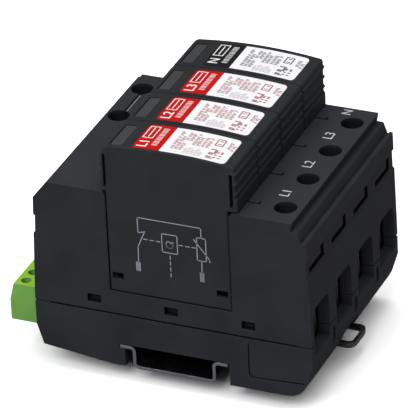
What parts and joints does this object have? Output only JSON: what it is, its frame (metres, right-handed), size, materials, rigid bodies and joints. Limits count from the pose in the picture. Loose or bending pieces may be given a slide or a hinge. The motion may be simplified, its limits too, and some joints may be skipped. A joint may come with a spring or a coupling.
{
  "type": "din rail surge arrester",
  "caption": "Pluggable surge arrester clipped on a top-hat rail, with lift-out protection plugs, screw terminals, a sprung foot catch and a green signalling connector.",
  "frame": {"origin": "middle of the underside of the rail section", "axes": "+Z out from the rail to the front of the device, +X along the device's height to the line terminals, +Y across the modules from the signalling side to the neutral module"},
  "size_m": [0.1015, 0.0712, 0.077],
  "materials": {
    "housing black": "fine eroded texture, charcoal",
    "plug plastic": "fine eroded texture, charcoal",
    "smoked window": "clear grey",
    "green flag": "moulded",
    "varistor blue": "dipped resin over the ceramic disc",
    "ceramic": "glazed ceramic",
    "zinc plated": "zinc plated",
    "tinned copper": "tin plated",
    "connector green": "moulded",
    "switch black": "moulded"
  },
  "bodies": {
    "unit": {"din_rail_section": "zinc plated", "base_housing": "housing black", "cover_housing": "housing black", "line_bar_1": "tinned copper", "line_bar_2": "tinned copper", "line_bar_3": "tinned copper", "neutral_bar": "tinned copper", "earth_bar": "tinned copper", "earth_link": "tinned copper", "signal_header": "connector green", "signal_switch": "switch black", "catch_spring": "zinc plated"},
    "catch": {"foot_catch": "zinc plated"},
    "line_1_screw": {"line_1_screw": "zinc plated"},
    "line_1_cage": {"line_1_cage": "zinc plated"},
    "line_2_screw": {"line_2_screw": "zinc plated"},
    "line_2_cage": {"line_2_cage": "zinc plated"},
    "line_3_screw": {"line_3_screw": "zinc plated"},
    "line_3_cage": {"line_3_cage": "zinc plated"},
    "neutral_screw": {"neutral_screw": "zinc plated"},
    "neutral_cage": {"neutral_cage": "zinc plated"},
    "earth_1_screw": {"earth_1_screw": "zinc plated"},
    "earth_1_cage": {"earth_1_cage": "zinc plated"},
    "earth_2_screw": {"earth_2_screw": "zinc plated"},
    "earth_2_cage": {"earth_2_cage": "zinc plated"},
    "plug_1": {"plug_1_housing": "plug plastic", "plug_1_lid": "plug plastic", "plug_1_window": "smoked window", "plug_1_blade_left": "tinned copper", "plug_1_blade_right": "tinned copper", "plug_1_varistor": "varistor blue"},
    "plug_1_flag": {"plug_1_flag": "green flag"},
    "plug_2": {"plug_2_housing": "plug plastic", "plug_2_lid": "plug plastic", "plug_2_window": "smoked window", "plug_2_blade_left": "tinned copper", "plug_2_blade_right": "tinned copper", "plug_2_varistor": "varistor blue"},
    "plug_2_flag": {"plug_2_flag": "green flag"},
    "plug_3": {"plug_3_housing": "plug plastic", "plug_3_lid": "plug plastic", "plug_3_window": "smoked window", "plug_3_blade_left": "tinned copper", "plug_3_blade_right": "tinned copper", "plug_3_varistor": "varistor blue"},
    "plug_3_flag": {"plug_3_flag": "green flag"},
    "plug_4": {"plug_4_housing": "plug plastic", "plug_4_lid": "plug plastic", "plug_4_window": "smoked window", "plug_4_blade_left": "tinned copper", "plug_4_blade_right": "tinned copper", "plug_4_spark_gap": "ceramic"},
    "plug_4_flag": {"plug_4_flag": "green flag"},
    "signal_plug": {"signal_plug": "connector green"},
    "signal_screw_1": {"signal_screw_1": "zinc plated"},
    "signal_screw_2": {"signal_screw_2": "zinc plated"},
    "signal_screw_3": {"signal_screw_3": "zinc plated"},
    "signal_slide": {"signal_slide": "switch black"}
  },
  "joints": [
    {"name": "catch_slide", "type": "slide", "parent": "unit", "child": "catch", "axis": [1, 0, 0], "range_m": [0, 0.004], "stiffness_N_per_m": 1500, "springref_m": -0.002, "deforming": ["catch_spring"]},
    {"name": "line_1_cage_rise", "type": "slide", "parent": "unit", "child": "line_1_cage", "axis": [0, 0, 1], "range_m": [0, 0.008]},
    {"name": "line_1_screw_turn", "type": "hinge", "parent": "unit", "child": "line_1_screw", "pos_m": [0.0346, -0.027, 0.052], "axis": [0, 0, 1], "range_deg": [-3600, 0]},
    {"name": "line_2_cage_rise", "type": "slide", "parent": "unit", "child": "line_2_cage", "axis": [0, 0, 1], "range_m": [0, 0.008]},
    {"name": "line_2_screw_turn", "type": "hinge", "parent": "unit", "child": "line_2_screw", "pos_m": [0.0346, -0.009, 0.052], "axis": [0, 0, 1], "range_deg": [-3600, 0]},
    {"name": "line_3_cage_rise", "type": "slide", "parent": "unit", "child": "line_3_cage", "axis": [0, 0, 1], "range_m": [0, 0.008]},
    {"name": "line_3_screw_turn", "type": "hinge", "parent": "unit", "child": "line_3_screw", "pos_m": [0.0346, 0.009, 0.052], "axis": [0, 0, 1], "range_deg": [-3600, 0]},
    {"name": "neutral_cage_rise", "type": "slide", "parent": "unit", "child": "neutral_cage", "axis": [0, 0, 1], "range_m": [0, 0.008]},
    {"name": "neutral_screw_turn", "type": "hinge", "parent": "unit", "child": "neutral_screw", "pos_m": [0.0346, 0.027, 0.052], "axis": [0, 0, 1], "range_deg": [-3600, 0]},
    {"name": "earth_1_cage_rise", "type": "slide", "parent": "unit", "child": "earth_1_cage", "axis": [0, 0, 1], "range_m": [0, 0.008]},
    {"name": "earth_1_screw_turn", "type": "hinge", "parent": "unit", "child": "earth_1_screw", "pos_m": [-0.0346, 0.009, 0.052], "axis": [0, 0, 1], "range_deg": [-3600, 0]},
    {"name": "earth_2_cage_rise", "type": "slide", "parent": "unit", "child": "earth_2_cage", "axis": [0, 0, 1], "range_m": [0, 0.008]},
    {"name": "earth_2_screw_turn", "type": "hinge", "parent": "unit", "child": "earth_2_screw", "pos_m": [-0.0346, 0.027, 0.052], "axis": [0, 0, 1], "range_deg": [-3600, 0]},
    {"name": "plug_1_lift", "type": "slide", "parent": "unit", "child": "plug_1", "axis": [0, 0, 1], "range_m": [0, 0.048]},
    {"name": "plug_1_trip", "type": "slide", "parent": "plug_1", "child": "plug_1_flag", "axis": [1, 0, 0], "range_m": [0, 0.0048]},
    {"name": "plug_2_lift", "type": "slide", "parent": "unit", "child": "plug_2", "axis": [0, 0, 1], "range_m": [0, 0.048]},
    {"name": "plug_2_trip", "type": "slide", "parent": "plug_2", "child": "plug_2_flag", "axis": [1, 0, 0], "range_m": [0, 0.0048]},
    {"name": "plug_3_lift", "type": "slide", "parent": "unit", "child": "plug_3", "axis": [0, 0, 1], "range_m": [0, 0.048]},
    {"name": "plug_3_trip", "type": "slide", "parent": "plug_3", "child": "plug_3_flag", "axis": [1, 0, 0], "range_m": [0, 0.0048]},
    {"name": "plug_4_lift", "type": "slide", "parent": "unit", "child": "plug_4", "axis": [0, 0, 1], "range_m": [0, 0.048]},
    {"name": "plug_4_trip", "type": "slide", "parent": "plug_4", "child": "plug_4_flag", "axis": [1, 0, 0], "range_m": [0, 0.0048]},
    {"name": "signal_plug_pull", "type": "slide", "parent": "unit", "child": "signal_plug", "axis": [-1, 0, 0], "range_m": [0, 0.012]},
    {"name": "signal_screw_1_turn", "type": "hinge", "parent": "signal_plug", "child": "signal_screw_1", "pos_m": [-0.0508, -0.02908, 0.018], "axis": [0, 0, 1], "range_deg": [-1080, 0]},
    {"name": "signal_screw_2_turn", "type": "hinge", "parent": "signal_plug", "child": "signal_screw_2", "pos_m": [-0.0508, -0.024, 0.018], "axis": [0, 0, 1], "range_deg": [-1080, 0]},
    {"name": "signal_screw_3_turn", "type": "hinge", "parent": "signal_plug", "child": "signal_screw_3", "pos_m": [-0.0508, -0.01892, 0.018], "axis": [0, 0, 1], "range_deg": [-1080, 0]},
    {"name": "signal_slide_push", "type": "slide", "parent": "unit", "child": "signal_slide", "axis": [0, -1, 0], "range_m": [0, 0.0025], "stiffness_N_per_m": 200, "springref_m": -0.001}
  ],
  "couplings": [
    {"joint": "line_1_screw_turn", "follows": "line_1_cage_rise", "rad_per_m": -7854},
    {"joint": "line_2_screw_turn", "follows": "line_2_cage_rise", "rad_per_m": -7854},
    {"joint": "line_3_screw_turn", "follows": "line_3_cage_rise", "rad_per_m": -7854},
    {"joint": "neutral_screw_turn", "follows": "neutral_cage_rise", "rad_per_m": -7854},
    {"joint": "earth_1_screw_turn", "follows": "earth_1_cage_rise", "rad_per_m": -7854},
    {"joint": "earth_2_screw_turn", "follows": "earth_2_cage_rise", "rad_per_m": -7854}
  ]
}
